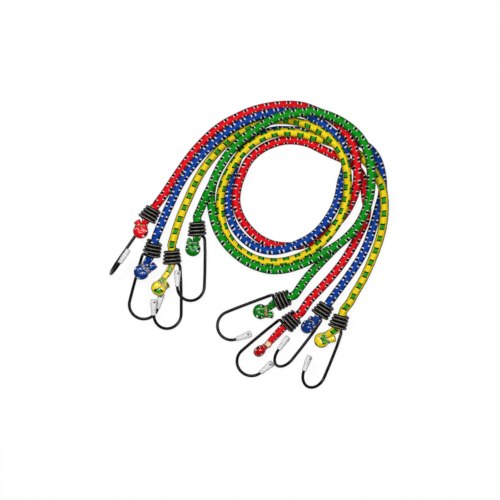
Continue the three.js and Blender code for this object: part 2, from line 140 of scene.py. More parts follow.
def new_group(name, inputs, outputs):
    """An empty node group whose named sockets are all numbers, and its input and output nodes."""
    kind = "NodeSocketFloat"
    tree = bpy.data.node_groups.new(name, "ShaderNodeTree")
    for socket_name, value in inputs.items():
        socket = tree.interface.new_socket(socket_name, in_out="INPUT", socket_type=kind)
        socket.default_value = value
    for socket_name in outputs:
        tree.interface.new_socket(socket_name, in_out="OUTPUT", socket_type=kind)
    return tree, tree.nodes.new("NodeGroupInput"), tree.nodes.new("NodeGroupOutput")


def place_group(tree, group, **values):
    """Put a group into a material, with values for its named inputs."""
    step = tree.nodes.new("ShaderNodeGroup")
    step.node_tree = group
    for name, value in values.items():
        feed(tree, step.inputs[name.replace("_", " ").capitalize()], value)
    return step


def new_material(name):
    """A material with its tree and its Principled shader."""
    material = bpy.data.materials.new(name)
    material.use_nodes = True
    tree = material.node_tree
    shader = next(n for n in tree.nodes if n.type == "BSDF_PRINCIPLED")
    return material, tree, shader


def surface_map(tree):
    """A tube's own map: the whole vector, the turn across and the millimetres up."""
    uv = tree.nodes.new("ShaderNodeUVMap")
    uv.uv_map = "surface"
    split = tree.nodes.new("ShaderNodeSeparateXYZ")
    tree.links.new(uv.outputs["UV"], split.inputs["Vector"])
    return uv.outputs["UV"], split.outputs["X"], split.outputs["Y"]


def add_bump(tree, shader, height, strength, depth):
    """A Bump node from a height to the shader's Normal."""
    bump = tree.nodes.new("ShaderNodeBump")
    bump.inputs["Strength"].default_value = strength
    bump.inputs["Distance"].default_value = depth
    feed(tree, bump.inputs["Height"], height)
    tree.links.new(bump.outputs["Normal"], shader.inputs["Normal"])


print("group and material helpers ready")

# %% [markdown]
# ## Table and light
#
# The real set was photographed on white. The floor is a pale sheet: seen by the camera, or in a shiny or
# clear piece, it is mostly a plain white glow, with a share of ordinary paint left in, so that it still
# takes the coil's soft shadow. For all other rays it is a dark grey paint, so that it throws little light
# up under the cords, whose sides are dark in the photograph. Stronger lamps could whiten a plain floor
# too, but they would bleach the cords.

# %% Floor and sky
FLOOR_SIDE = 6.0
FLOOR_PAINT = (0.93, 0.93, 0.93, 1.0)
FLOOR_BOUNCE = (0.07, 0.07, 0.07, 1.0)
FLOOR_ROUGHNESS = 0.9
FLOOR_GLOW = 0.9
SKY = 0.02


def white_floor():
    """White for the rays that show the floor, and a dark grey for the light that it throws back."""
    material, tree, shader = new_material("white table")
    shader.inputs["Roughness"].default_value = FLOOR_ROUGHNESS
    shader.inputs["Specular IOR Level"].default_value = 0.0
    path = tree.nodes.new("ShaderNodeLightPath")
    mirrored = compute(tree, "MAXIMUM", path.outputs["Is Glossy Ray"], path.outputs["Is Transmission Ray"])
    seen = compute(tree, "MAXIMUM", path.outputs["Is Camera Ray"], mirrored)
    feed(tree, shader.inputs["Base Color"], mixed(tree, seen, FLOOR_BOUNCE, FLOOR_PAINT))
    glow = tree.nodes.new("ShaderNodeEmission")
    blend = tree.nodes.new("ShaderNodeMixShader")
    feed(tree, blend.inputs["Fac"], compute(tree, "MULTIPLY", seen, FLOOR_GLOW))
    tree.links.new(shader.outputs["BSDF"], blend.inputs[1])
    tree.links.new(glow.outputs["Emission"], blend.inputs[2])
    out = next(n for n in tree.nodes if n.type == "OUTPUT_MATERIAL")
    tree.links.new(blend.outputs["Shader"], out.inputs["Surface"])
    return material


half = FLOOR_SIDE / 2
floor_corners = [(-half, -half, 0), (half, -half, 0), (half, half, 0), (-half, half, 0)]
floor_mesh = bpy.data.meshes.new("table_top")
floor_mesh.from_pydata(floor_corners, [], [(0, 1, 2, 3)])
floor = bpy.data.objects.new("table_top", floor_mesh)
floor_mesh.materials.append(white_floor())
scene.collection.objects.link(floor)

world = bpy.data.worlds.new("dim sky")
world.use_nodes = True
world.node_tree.nodes["Background"].inputs["Color"].default_value = (1, 1, 1, 1)
world.node_tree.nodes["Background"].inputs["Strength"].default_value = SKY
scene.world = world
print(f"floor of {FLOOR_SIDE} m and a sky of strength {SKY}")

# %% [markdown]
# ## Lamps
#
# A strip lamp hangs almost straight over the coil. It leaves both sides of a cord dark, hides the shadows
# under the cords, and draws a long thin highlight along the turns of wire, because it lies across most of
# the hooks' coils. A small lamp towards the top left adds a harder spark on the tied ends. Places and
# sizes are in metres, turns in radians and powers in watts.

# %% Lamps
LAMPS = {
    "strip lamp": {"place": (-0.06, 0.16, 1.30), "turn": -0.38, "length": 2.2, "width": 0.3, "power": 22.5},
    "small lamp": {"place": (-0.30, 0.50, 1.45), "turn": 0.0, "length": 0.2, "width": 0.2, "power": 6.5},
}


def lamp_above(name, place, turn, length, width, power):
    """A lamp that faces straight down, turned about the vertical."""
    data = bpy.data.lights.new(name, "AREA")
    data.shape = "RECTANGLE"
    data.size = length
    data.size_y = width
    data.energy = power
    lamp = bpy.data.objects.new(name, data)
    lamp.location = place
    lamp.rotation_euler = (0, 0, turn)
    scene.collection.objects.link(lamp)


for lamp_name, values in LAMPS.items():
    lamp_above(lamp_name, **values)
print("lamps:", ", ".join(LAMPS))

# %% [markdown]
# ## Routes
#
# A cord's route is a list of given points: sheet x, sheet y, and the height of the cord's middle
# in millimetres. A smooth curve runs through them. A physics simulation could drop the cords on the
# table, but it would not give these crossings. The lists are the same as in the part's own source.

# %% Routes
ROUTES = {
    "red": [
        (163.5, 196, 7.6), (172, 183, 4.8), (181, 169.5, 3.8), (192, 154.5, 3.7), (205, 140, 3.7),
        (220, 127, 3.7), (236, 118, 3.7), (252, 111, 3.7), (268, 107, 3.7), (285, 105.2, 3.7),
        (302, 106.3, 3.7), (318, 112, 3.7), (330, 118.5, 5), (340, 127, 10), (348, 137, 12.6),
        (354, 149.3, 12.6), (356.5, 164, 12.8), (357, 178, 12.2), (355, 192, 8.6), (350, 205, 4.2),
        (341, 218.5, 3.7), (328.5, 230.5, 3.7), (314.5, 239.7, 3.7), (300, 245.3, 3.7), (285, 246.5, 3.7),
        (270.5, 244, 3.7), (257.3, 237, 3.9), (247.3, 227.3, 5.8), (240, 216, 8.3), (236.2, 203, 9.3),
        (237.5, 188, 9.3), (242.3, 173.5, 8.5), (249, 160.5, 4.8), (259.5, 150.5, 3.7), (272, 144, 3.7),
        (285, 140.6, 3.7), (298, 140.8, 3.7), (309.5, 143.6, 3.7), (319.5, 148.5, 3.7), (331, 154, 3.7),
        (342.5, 159, 3.7), (353.5, 165.5, 3.7), (361.3, 175, 3.7), (364, 186.5, 3.7), (365.5, 198, 3.7),
        (367, 209, 3.7), (365, 221, 3.7), (359, 234.5, 3.7), (351.5, 248.5, 3.7), (342.5, 262.5, 3.7),
        (331.5, 276.5, 3.7), (319.5, 289.5, 4.8), (309, 300.5, 8.5),
    ],
    "blue": [
        (159.2, 230, 11.8), (165.4, 215.5, 11), (172.4, 200, 10.6), (180, 184.5, 9.7), (190, 169.5, 9.3),
        (201, 156, 9.3), (213.3, 143.7, 9.3), (226.5, 132.8, 9.3), (241.5, 123.6, 9.3), (256.7, 117, 9.3),
        (271.8, 113.2, 9.3), (287, 112.1, 9.4), (301, 113.2, 9.3), (313.5, 118.8, 9.6), (324.3, 126, 11),
        (333.5, 134.5, 12.7), (340.5, 143.5, 12.6), (345, 153, 12.6), (345.8, 162, 12.6), (344, 172, 10),
        (341, 182.5, 6.8), (339, 194, 4.5), (335.5, 205.5, 3.9), (329.5, 216.5, 6), (321, 228, 10),
        (311, 237, 12.3), (299, 243.5, 12.4), (286, 248.5, 12.3), (272, 250.7, 11), (258.3, 248, 9),
        (246.5, 240.8, 6.6), (237, 230.8, 4.2), (230.8, 218.5, 3.7), (228, 205, 3.7), (228.7, 191, 3.7),
        (231.6, 177.5, 3.7), (236, 164, 3.7), (241.5, 151.5, 3.7), (250.5, 141.8, 3.7), (262, 134.8, 3.7),
        (275.5, 130.7, 3.7), (289, 130.6, 3.7), (302, 131.2, 3.7), (316, 130.9, 3.7), (330, 132.6, 3.7),
        (345, 138, 3.7), (357, 142, 3.7), (368, 147.5, 3.7), (376, 157, 3.7), (380.5, 169, 3.7),
        (382.5, 182, 3.7), (382, 195, 3.7), (378.7, 207, 3.7), (375.3, 219.3, 3.7), (371.7, 231, 3.7),
        (367.5, 243, 3.7), (361.5, 256, 3.7), (353, 269.5, 3.7), (344.5, 281.5, 3.7), (335.8, 293, 6),
    ],
    "yellow": [
        (173.5, 240, 10.8), (176, 231, 9), (179.5, 220, 6.5), (184, 208.5, 4.4), (189.5, 196, 3.7),
        (196, 182, 3.7), (204, 168.5, 3.7), (213.8, 155.7, 3.7), (225, 144, 3.7), (237.8, 134.3, 3.7),
        (251.2, 127, 3.7), (264.5, 122.3, 3.7), (277.3, 120.2, 3.7), (289, 120.6, 4), (299, 122.7, 8.2),
        (309, 126, 13.6), (318.5, 131, 17), (327.5, 137.5, 19.6), (335, 145.2, 20.8), (340.5, 154, 21),
        (344.5, 163.5, 21), (346.7, 174.5, 19), (347.2, 186, 15.5), (346.3, 198, 13), (343, 210.5, 12.6),
        (337.5, 222.5, 12.6), (329.5, 234, 12.6), (319.5, 244.5, 11), (307.5, 253, 7), (294, 259, 3.9),
        (281, 262, 3.7), (268, 262, 3.7), (255.5, 259, 3.8), (244, 253.2, 4.5), (234.2, 244.8, 6.4),
        (226.5, 233.8, 8.6), (221.8, 220.5, 9), (220.2, 206.5, 9), (221, 193, 9.3), (224.6, 181, 10.6),
        (229.8, 170.5, 12.1), (236, 160.5, 12.5), (244, 151.5, 12.5), (254, 143, 12.5), (265, 137, 12.5),
        (277, 133.3, 12.5), (290, 132.8, 12.5), (302, 134.4, 11.8), (313, 137.4, 10.6), (323, 140.2, 8.5),
        (333, 143.4, 5), (344, 147.5, 3.7), (355, 152.3, 3.7), (364, 159.8, 5), (371, 168.3, 8),
        (377, 177.3, 11.2), (381.5, 187, 12.4), (383.5, 198, 12.2), (384, 210, 10.4), (383, 222, 8.4),
        (380.8, 234, 5), (376.3, 248.5, 3.7), (370, 264, 3.7), (363, 279, 3.7), (355, 292.5, 5),
        (349, 303, 7.8),
    ],
    "green": [
        (199.5, 212, 11.6), (203, 204, 16), (206.8, 195.5, 20.2), (211.3, 187, 21), (216, 176, 20.4),
        (222.3, 163.7, 19.7), (230.5, 152, 19.8), (240.5, 141.5, 19.8), (252, 132.7, 20.5),
        (264, 124.7, 22.4), (276, 119, 25.2), (288, 115.3, 26.5), (300, 113.3, 26.5), (313, 112.7, 26.5),
        (326, 116, 26.5), (339, 121.7, 26.5), (350.5, 129.5, 26.5), (360, 139.5, 26.5),
        (366.3, 151, 26.5), (369.5, 163.5, 26.7), (370.3, 176.5, 26.9), (370, 189, 25.3),
        (368, 201, 22.2), (363.5, 214, 21.2), (356.5, 226.5, 19.5), (347, 237, 17.3), (336, 245.5, 15.3),
        (324, 252.5, 13.7), (311, 259.7, 12.2), (298, 265.5, 10), (284, 269.2, 9.4), (270, 269.7, 9.6),
        (256.5, 266.2, 10.4), (244.5, 260.3, 11.6), (234, 252.2, 13.4), (224.7, 242, 15.3),
        (217.5, 229.8, 15.2), (213.3, 216.5, 14), (211.3, 203, 12.2), (211.3, 192.5, 10.4),
        (214.3, 179.5, 10.6), (222.3, 163.7, 10.9), (230.5, 152, 11), (240.5, 141.5, 11),
        (252, 132.7, 11.6), (264, 124.7, 13.3), (276, 119, 16.1), (288, 115.3, 17.6), (300, 113.3, 17.8),
        (313, 112.7, 17.8), (326, 116, 17.8), (339, 121.7, 17.8), (350.5, 129.5, 17.8),
        (360, 139.5, 17.8), (366.3, 151, 17.8), (369.5, 163.5, 18), (370.3, 176.5, 18.1),
        (370, 189, 16.2), (368, 201, 13.3), (363.5, 214, 12.4), (356.5, 226.5, 10.7), (347, 237, 8.6),
        (336.5, 246.5, 6), (327, 256, 4.2), (317, 266.5, 3.7), (308, 276.5, 4.6), (300.5, 286.5, 8),
    ],
}
print("route points:", {colour: len(points) for colour, points in ROUTES.items()})

# %% [markdown]
# ## Hook ends
#
# The ends say where each hook sits and how the cord is folded past its coil. All but `turns` are the
# part's own. `coil` is the middle of the hook's coil on the sheet with its height, and `heading` the way
# the hook points. `dip` is how many degrees it slopes down to its bend, `shank` is 1 where the shank lies
# to the left and -1 to the right, and `roll` is how many degrees the tip is turned up. `fold` is the
# middle of the folded end, with a heading of its own. `side` is where the strand comes back, 1 for left,
# and `lean` how many degrees it is raised there. `tail` and `flare` are how far its cut end reaches back
# and out, in millimetres, and `turns` counts the turns of tie wire.

# %% Hook ends
ENDS = {
    "red_left": {
        "coil": (150.8, 214, 9.1), "heading": (-0.56, 0.83), "dip": 0, "shank": -1, "roll": 83,
        "fold": (141, 231, 8.4), "fold_heading": (-0.1, 0.99), "side": -1, "lean": 0,
        "tail": 9.8, "flare": 1.6, "turns": 1,
    },
    "blue_left": {
        "coil": (153.2, 248.5, 10.1), "heading": (-0.27, 0.963), "dip": 7.5, "shank": -1, "roll": 0,
        "fold": (142, 272, 14.4), "fold_heading": (-0.75, 0.66), "side": 1, "lean": 0,
        "tail": 15, "flare": 0.4, "turns": 2,
    },
    "yellow_left": {
        "coil": (172.3, 257, 9.9), "heading": (0.02, 1), "dip": 6.3, "shank": 1, "roll": 20,
        "fold": (159.2, 287.8, 11.6), "fold_heading": (-0.72, 0.69), "side": 1, "lean": 0,
        "tail": 9.8, "flare": 0.6, "turns": 2,
    },
    "green_left": {
        "coil": (197.3, 229, 9.5), "heading": (-0.01, 1), "dip": 2.6, "shank": 1, "roll": 22,
        "fold": (193, 248.7, 7.2), "fold_heading": (0, 1), "side": -1, "lean": 0,
        "tail": 8.5, "flare": 2, "turns": 1,
    },
    "green_right": {
        "coil": (282.5, 299.5, 10.1), "heading": (-0.934, 0.357), "dip": 7.5, "shank": -1, "roll": 8,
        "fold": (260.5, 311.5, 5.4), "fold_heading": (-1, 0.02), "side": 1, "lean": 0,
        "tail": 12.5, "flare": 0.4, "turns": 2,
    },
    "red_right": {
        "coil": (291, 320.5, 10.1), "heading": (-0.77, 0.64), "dip": 7.5, "shank": -1, "roll": 0,
        "fold": (260.5, 350, 8.2), "fold_heading": (-0.78, 0.625), "side": 1, "lean": 90,
        "tail": 10.4, "flare": 4.6, "turns": 1,
    },
    "blue_right": {
        "coil": (323, 310, 9.4), "heading": (-0.6, 0.8), "dip": 2, "shank": 1, "roll": 53,
        "fold": (307.8, 326.2, 7.2), "fold_heading": (-0.72, 0.69), "side": -1, "lean": -50,
        "tail": 7.4, "flare": 1.8, "turns": 1,
    },
    "yellow_right": {
        "coil": (339, 321.5, 9.6), "heading": (-0.36, 0.933), "dip": 3.4, "shank": 1, "roll": 41,
        "fold": (321.5, 340, 6.6), "fold_heading": (-0.9, 0.42), "side": 1, "lean": 0,
        "tail": 13, "flare": 0.5, "turns": 1,
    },
}
print("hook ends:", ", ".join(ENDS))

# %% [markdown]
# ## Lines and tubes
#
# Nearly every piece here is a tube along a line: a cord, a folded end, a wire. A line is a smooth curve
# through a few points. At each of its points a frame says which way is along, sideways and up, and the
# tube is a ring of points around each frame. The tube also carries a map: across it runs once round the
# tube, and up it runs the length along the line in millimetres, so that a weave keeps its real size
# wherever the line goes.

# %% Smooth lines
from math import asin, cos, pi, radians, sin


def smooth(points, samples):
    """A centripetal Catmull-Rom curve through the points, with so many samples to each span."""
    ends = [points[0] * 2 - points[1], *points, points[-1] * 2 - points[-2]]
    line = []
    for a, b, c, d in zip(ends, ends[1:], ends[2:], ends[3:]):
        first, middle, last = ((q - p).length ** 0.5 for p, q in ((a, b), (b, c), (c, d)))
        leave = ((b - a) / first - (c - a) / (first + middle) + (c - b) / middle) * middle
        arrive = ((c - b) / middle - (d - b) / (middle + last) + (d - c) / last) * middle
        for k in range(samples):
            t = k / samples
            bend = (c - b) * 3 - leave * 2 - arrive
            twist = (b - c) * 2 + leave + arrive
            line.append(b + leave * t + bend * t * t + twist * t * t * t)
    line.append(points[-1].copy())
    return line


def even_steps(line, step):
    """The same line in equal steps of about the given length."""
    reach = [0.0]
    for a, b in zip(line, line[1:]):
        reach.append(reach[-1] + (b - a).length)
    count = max(2, round(reach[-1] / step))
    out = []
    k = 1
    for s in range(count + 1):
        want = reach[-1] * s / count
        while k < len(line) - 1 and reach[k] < want:
            k += 1
        t = (want - reach[k - 1]) / (reach[k] - reach[k - 1])
        out.append(line[k - 1].lerp(line[k], t))
    return out


print("line helpers ready")

# %% Frames along a line


def directions(line, before=None, after=None):
    """The way the line runs at each of its points, with its neighbours at the ends where they are known."""
    first = line[0] if before is None else before
    last = line[-1] if after is None else after
    known = [first, *line, last]
    return [(b - a).normalized() for a, b in zip(known, known[2:])]


def level_frames(line, before, after):
    """Frames whose side stays level, for a cord that lies on a table."""
    out = []
    for point, along in zip(line, directions(line, before, after)):
        side = along.cross(Vector((0, 0, 1))).normalized()
        out.append((point, along, side, side.cross(along)))
    return out


def carried_frames(line, first_up, before=None, held=0):
    """Frames that turn as little as possible from point to point, after a held start where up stays up."""
    up = first_up.copy()
    out = []
    for k, (point, along) in enumerate(zip(line, directions(line, before))):
        up = first_up if k < held else up
        up = (up - along * up.dot(along)).normalized()
        out.append((point, along, along.cross(up), up))
    return out


print("frame helpers ready")

# %% Tubes


def ring_at(spot, radius, sides, flat=1.0):
    """A ring of points around a frame, starting at its up direction and turning to its left."""
    point, _, side, up = spot
    angles = [2 * pi * i / sides for i in range(sides)]
    return [point + up * (radius * flat * cos(a)) - side * (radius * sin(a)) for a in angles]


def moved(spot, onward_mm):
    """The same frame, so many millimetres further along."""
    point, along, side, up = spot
    return point + along * onward_mm * MM, along, side, up


def running_mm(points, start_mm=0.0):
    """The length along the points, counted on from a start."""
    reach = [start_mm]
    for a, b in zip(points, points[1:]):
        reach.append(reach[-1] + (b - a).length / MM)
    return reach


def skin(name, rings, materials, reach_mm=None):
    """A closed mesh over rings of points, with a map of turns across and millimetres up."""
    sides = len(rings[0])
    if reach_mm is None:
        reach_mm = running_mm([ring[0] for ring in rings])
    points = [p for ring in rings for p in ring]
    faces = []
    corners = []
    for k in range(len(rings) - 1):
        for i in range(sides):
            j = (i + 1) % sides
            faces.append((k * sides + i, (k + 1) * sides + i, (k + 1) * sides + j, k * sides + j))
            left, right = i / sides, (i + 1) / sides
            low, high = reach_mm[k], reach_mm[k + 1]
            corners += [(left, low), (left, high), (right, high), (right, low)]
    for k, order in ((0, range(sides)), (len(rings) - 1, range(sides - 1, -1, -1))):
        faces.append(tuple(k * sides + i for i in order))
        corners += [(i / sides, reach_mm[k]) for i in order]
    mesh = bpy.data.meshes.new(name)
    mesh.from_pydata(points, [], faces)
    mesh.polygons.foreach_set("use_smooth", [True] * (len(faces) - 2) + [False, False])
    layer = mesh.uv_layers.new(name="surface")
    layer.data.foreach_set("uv", [value for corner in corners for value in corner])
    for material in materials:
        mesh.materials.append(material)
    piece = bpy.data.objects.new(name, mesh)
    scene.collection.objects.link(piece)
    return piece


print("tube helpers ready")

# %% [markdown]
# ## The woven sleeve
#
# The sleeve is a tight braid of shiny nylon, with small marks in other yarns. Close up there are two
# things to show: the braid's own relief, little pillows where two yarns cross, and the rows of marks.
# Both are sums over the tube's map, so each is a node group: all four cords use them, and only the
# colours and sizes differ. A braid of modelled yarns would be truer still, but four cords of it would be
# millions of faces.

# %% Braid relief group


def braid_relief_group():
    """Little pillows where two slanting families of yarns cross, with fine filaments along one family."""
    tree, given, out = new_group(
        "braid relief",
        {"Turn": 0.0, "Run": 0.0, "Yarns": 20.0, "Pitch": 1.25},
        ("Height", "Hollow"),
    )
    around = compute(tree, "MULTIPLY", given.outputs["Turn"], given.outputs["Yarns"])
    onward = compute(tree, "DIVIDE", given.outputs["Run"], given.outputs["Pitch"])
    rising = compute(tree, "ADD", around, onward)
    falling = compute(tree, "SUBTRACT", around, onward)
    humps = []
    for family in (rising, falling):
        wave = compute(tree, "SINE", compute(tree, "MULTIPLY", family, pi / 2))
        humps.append(compute(tree, "ABSOLUTE", wave))
    pillow = compute(tree, "MULTIPLY", *humps)
    filaments = 4 * pi
    filament_height = 0.08
    hollow_below = 0.45
    strand = compute(tree, "SINE", compute(tree, "MULTIPLY", rising, filaments))
    height = compute(tree, "ADD", pillow, compute(tree, "MULTIPLY", strand, filament_height))
    feed(tree, out.inputs["Height"], height)
    # The hollow mask marks the low places between the pillows, where the sleeve paints shade.
    feed(tree, out.inputs["Hollow"], remapped(tree, pillow, 0.0, hollow_below, 1.0, 0.0))
    return tree


BRAID_RELIEF = braid_relief_group()
print("group:", BRAID_RELIEF.name)

# %% [markdown]
# ## Rows of marks
#
# The marks sit in four rows around the cord, and each row starts a quarter of a spacing after the one to
# its right, so that the marks wind around the cord like a screw thread. A mark is a short bar, with a
# thin edge in a third colour before and after it. A cord is never laid without some twist, so the rows
# drift to one side and back again over its length. Masks from sums stay sharp at any distance, which a
# painted picture would not.

# %% Mark rows group


def mark_rows_group():
    """Rows of marks around the cord: a mask for the bar and one for the thin edges beside it."""
    tree, given, out = new_group(
        "mark rows",
        {"Turn": 0.0, "Run": 0.0, "Shift": 0.0, "Spacing": 9.7, "Bar": 1.2, "Edge": 1.0,
         "Bar width": 0.23, "Edge width": 0.28, "Sway": 0.02},
        ("Bar", "Edge"),
    )
    rows = 4
    sway_length_mm = 770
    slant_mm = 0.7
    sway_per_mm = 2 * pi / sway_length_mm
    wave = compute(tree, "COSINE", compute(tree, "MULTIPLY", given.outputs["Run"], sway_per_mm))
    sway = compute(tree, "MULTIPLY", compute(tree, "SUBTRACT", 1.0, wave), given.outputs["Sway"])
    turn = compute(tree, "ADD", compute(tree, "ADD", given.outputs["Turn"], given.outputs["Shift"]), sway)
    turned = compute(tree, "MULTIPLY", turn, rows)
    row = compute(tree, "FLOOR", turned)
    across = compute(tree, "SUBTRACT", compute(tree, "FRACT", turned), 0.5)
    spaced = compute(tree, "DIVIDE", given.outputs["Run"], given.outputs["Spacing"])
    shifted = compute(tree, "SUBTRACT", spaced, compute(tree, "DIVIDE", row, rows))
    place = compute(tree, "SUBTRACT", compute(tree, "FRACT", compute(tree, "ADD", shifted, 0.5)), 0.5)
    distance = compute(tree, "MULTIPLY", place, given.outputs["Spacing"])
    slant = compute(tree, "MULTIPLY", across, slant_mm)
    offset = compute(tree, "ADD", distance, slant)
    sideways = compute(tree, "ABSOLUTE", across)
    lengthways = compute(tree, "ABSOLUTE", offset)
    reach = compute(tree, "ADD", given.outputs["Bar"], given.outputs["Edge"])
    beside_bar = compute(tree, "LESS_THAN", sideways, given.outputs["Bar width"])
    beside_edge = compute(tree, "LESS_THAN", sideways, given.outputs["Edge width"])
    in_bar = compute(tree, "LESS_THAN", lengthways, given.outputs["Bar"])
    in_edge = compute(tree, "SUBTRACT", compute(tree, "LESS_THAN", lengthways, reach), in_bar)
    feed(tree, out.inputs["Bar"], compute(tree, "MULTIPLY", in_bar, beside_bar))
    feed(tree, out.inputs["Edge"], compute(tree, "MULTIPLY", in_edge, beside_edge))
    return tree


MARK_ROWS = mark_rows_group()
print("group:", MARK_ROWS.name)

# %% [markdown]
# ## Handling
#
# Nothing in use is spotless. Wire, plastic and rubber all get a slow change of tone and gloss from a soft
# noise in the object's own space, which needs no picture and moves with the piece. One group serves the
# hooks, caps, tie wires and rubber, each with its own size of patch.

# %% Handling group
NOISE_SPAN = (0.3, 0.7)


def handling_group():
    """A soft patchy noise, as a shade for colours and as a roughness."""
    tree, given, out = new_group(
        "handling",
        {"Patch": 300.0, "Least": 0.25, "Most": 0.45},
        ("Shade", "Roughness"),
    )
    coordinates = tree.nodes.new("ShaderNodeTexCoord")
    noise = tree.nodes.new("ShaderNodeTexNoise")
    noise.inputs["Detail"].default_value = 3.0
    tree.links.new(coordinates.outputs["Object"], noise.inputs["Vector"])
    feed(tree, noise.inputs["Scale"], given.outputs["Patch"])
    value = noise.outputs[0]
    gloss = remapped(tree, value, *NOISE_SPAN, given.outputs["Least"], given.outputs["Most"])
    feed(tree, out.inputs["Shade"], remapped(tree, value, *NOISE_SPAN, 0.0, 1.0))
    feed(tree, out.inputs["Roughness"], gloss)
    return tree


HANDLING = handling_group()
print("group:", HANDLING.name)

# %% [markdown]
# ## Yarns
#
# Each cord has a ground yarn, a yarn for its bars and one for the thin edges beside them. Red and green
# have black bars with white edges, blue has navy bars with white edges, and yellow has green bars with
# black edges. `bar` is half the length of a bar and `edge` the length of an edge, both in millimetres.
# The widths are half widths, as a share of a row. `spacing` goes from mark to mark, and `shift` and
# `sway` are shares of a turn.

# %% Yarns
SOOT = (0.006, 0.006, 0.007, 1.0)
CHALK = (0.86, 0.86, 0.83, 1.0)
LEAF = (0.020, 0.330, 0.012, 1.0)
NAVY = (0.001, 0.008, 0.060, 1.0)
YARNS = {
    "red": {
        "yarn": (0.78, 0.004, 0.011, 1.0), "bar_yarn": SOOT, "edge_yarn": CHALK,
        "marks": {"bar": 1.25, "edge": 0.68, "bar_width": 0.26, "edge_width": 0.29},
    },
    "blue": {
        "yarn": (0.003, 0.055, 0.36, 1.0), "bar_yarn": NAVY, "edge_yarn": CHALK,
        "marks": {"bar": 1.25, "edge": 1.15, "bar_width": 0.30, "edge_width": 0.29, "spacing": 10.2},
    },
    "yellow": {
        "yarn": (0.90, 0.70, 0.012, 1.0), "bar_yarn": LEAF, "edge_yarn": SOOT,
        "marks": {
            "bar": 1.7, "edge": 1.25, "bar_width": 0.35, "edge_width": 0.36,
            "spacing": 11.8, "shift": 0.125, "sway": 0.06,
        },
    },
    "green": {
        "yarn": (0.003, 0.30, 0.009, 1.0), "bar_yarn": SOOT, "edge_yarn": CHALK,
        "marks": {"bar": 1.2, "edge": 0.72, "bar_width": 0.26, "edge_width": 0.29},
    },
}
print("yarns:", ", ".join(YARNS))

# %% [markdown]
# ## Sleeve finishes
#
# A lying cord is soft and dull, and its colour is painted darker from its top towards its sides and
# underside: painted shade. Where the fold is tied, the same braid is drawn tight: it is smooth and glossy,
# with less of that painted shade, its marks close up on all but the yellow, and blue and green are drawn
# in a deeper tone. One function makes both finishes, so that they stay the same cloth.

# %% Sleeve material
PATCH_SCALE = 2.5
DEEP_SHARE = 0.5
HOLLOW_SHADE_SHARE = 0.45
RELIEF_STRENGTH = 0.6
GLOSS_ROUGHNESS = 0.06
SIDE_SHADE_GREY = (0.14, 0.14, 0.14, 1.0)


def sleeve_material(colour, finish, rough, smooth_top, relief_mm, shine, gloss, side_shade, mark_share, depth):
    """Nylon braid with its marks and painted shade, as glossy and as deep in tone as the values say."""
    yarn = YARNS[colour]
    drawn = {
        name: value * mark_share if "width" in name else value
        for name, value in yarn["marks"].items()
    }
    material, tree, shader = new_material(f"{colour} {finish}")
    spot, turn, run = surface_map(tree)
    relief = place_group(tree, BRAID_RELIEF, turn=turn, run=run)
    marks = place_group(tree, MARK_ROWS, turn=turn, run=run, **drawn)
    noise = tree.nodes.new("ShaderNodeTexNoise")
    noise.inputs["Scale"].default_value = PATCH_SCALE
    tree.links.new(spot, noise.inputs["Vector"])
    tone = remapped(tree, noise.outputs[0], *NOISE_SPAN, *depth)
    deep = tuple(value * DEEP_SHARE for value in yarn["yarn"][:3]) + (1.0,)
    plain = mixed(tree, tone, yarn["yarn"], deep)
    edged = mixed(tree, marks.outputs["Edge"], plain, yarn["edge_yarn"])
    marked = mixed(tree, marks.outputs["Bar"], edged, yarn["bar_yarn"])
    # Painted shade: the hollows of the braid are darkened towards the deep yarn colour.
    hollow = compute(tree, "MULTIPLY", relief.outputs["Hollow"], HOLLOW_SHADE_SHARE)
    woven = mixed(tree, hollow, marked, deep, blend="MULTIPLY")
    # Painted shade: the colour darkens from the top of the tube towards its sides and underside.
    upward = compute(tree, "COSINE", compute(tree, "MULTIPLY", turn, 2 * pi))
    under = remapped(tree, upward, 1.0, 0.0, 0.0, side_shade)
    feed(tree, shader.inputs["Base Color"], mixed(tree, under, woven, SIDE_SHADE_GREY, blend="MULTIPLY"))
    dullness = remapped(tree, relief.outputs["Height"], 0.0, 1.0, rough, smooth_top)
    feed(tree, shader.inputs["Roughness"], dullness)
    add_bump(tree, shader, relief.outputs["Height"], RELIEF_STRENGTH, relief_mm * MM)
    shader.inputs["Specular IOR Level"].default_value = shine
    shader.inputs["Coat Weight"].default_value = gloss
    shader.inputs["Coat Roughness"].default_value = GLOSS_ROUGHNESS
    return material


print(f"braid relief at strength {RELIEF_STRENGTH}, hollows darker by a share of {HOLLOW_SHADE_SHARE}")

# %% Loose and tight sleeves
LOOSE = {"rough": 0.65, "smooth_top": 0.45, "relief_mm": 0.2, "shine": 0.06, "gloss": 0.0, "side_shade": 1.0}
TIGHT = {"rough": 0.4, "smooth_top": 0.3, "relief_mm": 0.006, "shine": 0.1, "gloss": 0.5, "side_shade": 0.4}
LIGHT_TONES = (0.0, 0.3)
DEEP_TONES = (0.4, 1.0)
TIGHT_YARNS = {
    "red": {"depth": LIGHT_TONES, "mark_share": 0.5},
    "blue": {"depth": DEEP_TONES, "mark_share": 0.4},
    "yellow": {"depth": LIGHT_TONES, "mark_share": 1.0},
    "green": {"depth": DEEP_TONES, "mark_share": 0.55},
}
LOOSE_YARN = {"depth": LIGHT_TONES, "mark_share": 1.0}
SLEEVES = {colour: sleeve_material(colour, "braid", **LOOSE, **LOOSE_YARN) for colour in YARNS}
TIGHT_SLEEVES = {
    colour: sleeve_material(colour, "tight braid", **TIGHT, **drawn_in)
    for colour, drawn_in in TIGHT_YARNS.items()
}
print("sleeve materials:", ", ".join(SLEEVES))
